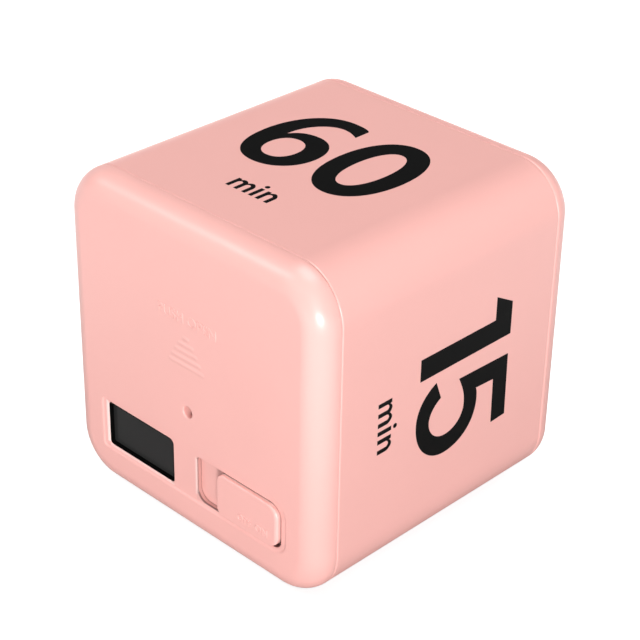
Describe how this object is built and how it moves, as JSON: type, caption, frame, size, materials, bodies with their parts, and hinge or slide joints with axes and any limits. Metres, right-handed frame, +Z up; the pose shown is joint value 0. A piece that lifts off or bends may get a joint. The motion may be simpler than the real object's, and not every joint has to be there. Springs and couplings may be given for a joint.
{
  "type": "cube timer",
  "caption": "Cube-shaped countdown timer with a numbered sleeve, a small display, a slide switch and a lift-off battery cover.",
  "frame": {"origin": "centre of the face that the cube stands on when the largest number is on top", "axes": "+X to the right seen from the display face, +Y from the display face to the rear, +Z up, out of the top face"},
  "size_m": [0.064, 0.0647, 0.064],
  "materials": {
    "case_plastic": "moulded plastic with a soft gloss",
    "chassis_plastic": "moulded plastic, satin",
    "knob_plastic": "moulded plastic with a soft gloss",
    "printed_black": "printed numerals, satin black",
    "display_black": "moulded black plastic",
    "smoked_lens": "smoked acrylic, polished",
    "display_glass": "liquid crystal cell, clear glass over grey",
    "zebra_rubber": "layered silicone strip",
    "board_laminate": "green solder mask over glass laminate",
    "resin_black": "cast epoxy drop",
    "component_black": "moulded component body",
    "component_steel": "drawn steel can",
    "capacitor_sleeve": "shrunk plastic sleeve",
    "contact_steel": "nickel-plated spring steel",
    "cell_can": "plain metal-coloured cell sleeve",
    "pad_foam": "closed-cell foam",
    "wire_red": "flexible lead insulation",
    "wire_black": "flexible lead insulation",
    "screw_steel": "zinc-plated steel"
  },
  "bodies": {
    "case": {"body_sleeve": "case_plastic", "rear_cap": "case_plastic", "chassis": "chassis_plastic", "case_screw_1": "screw_steel", "case_screw_2": "screw_steel", "case_screw_3": "screw_steel", "case_screw_4": "screw_steel", "cell_upper": "cell_can", "cell_lower": "cell_can", "contact_positive": "contact_steel", "contact_negative": "contact_steel", "contact_bridge": "contact_steel", "wire_positive": "wire_red", "wire_negative": "wire_black", "display_frame": "display_black", "display_lens": "smoked_lens", "display_glass": "display_glass", "zebra_strip_upper": "zebra_rubber", "zebra_strip_lower": "zebra_rubber", "main_board": "board_laminate", "controller_blob": "resin_black", "tilt_sensor": "component_black", "buzzer": "component_black", "crystal": "component_steel", "capacitor": "capacitor_sleeve", "switch_body": "component_steel", "board_screw_1": "screw_steel", "board_screw_2": "screw_steel", "board_screw_3": "screw_steel"},
    "cover": {"front_cover": "case_plastic", "cell_pad": "pad_foam"},
    "slider": {"switch_knob": "knob_plastic", "switch_lever": "component_black"}
  },
  "joints": [
    {"name": "cover_lift", "type": "slide", "parent": "case", "child": "cover", "axis": [0, -1, 0], "range_m": [0, 0.03]},
    {"name": "switch_slide", "type": "slide", "parent": "case", "child": "slider", "axis": [-1, 0, 0], "range_m": [0, 0.005]}
  ]
}
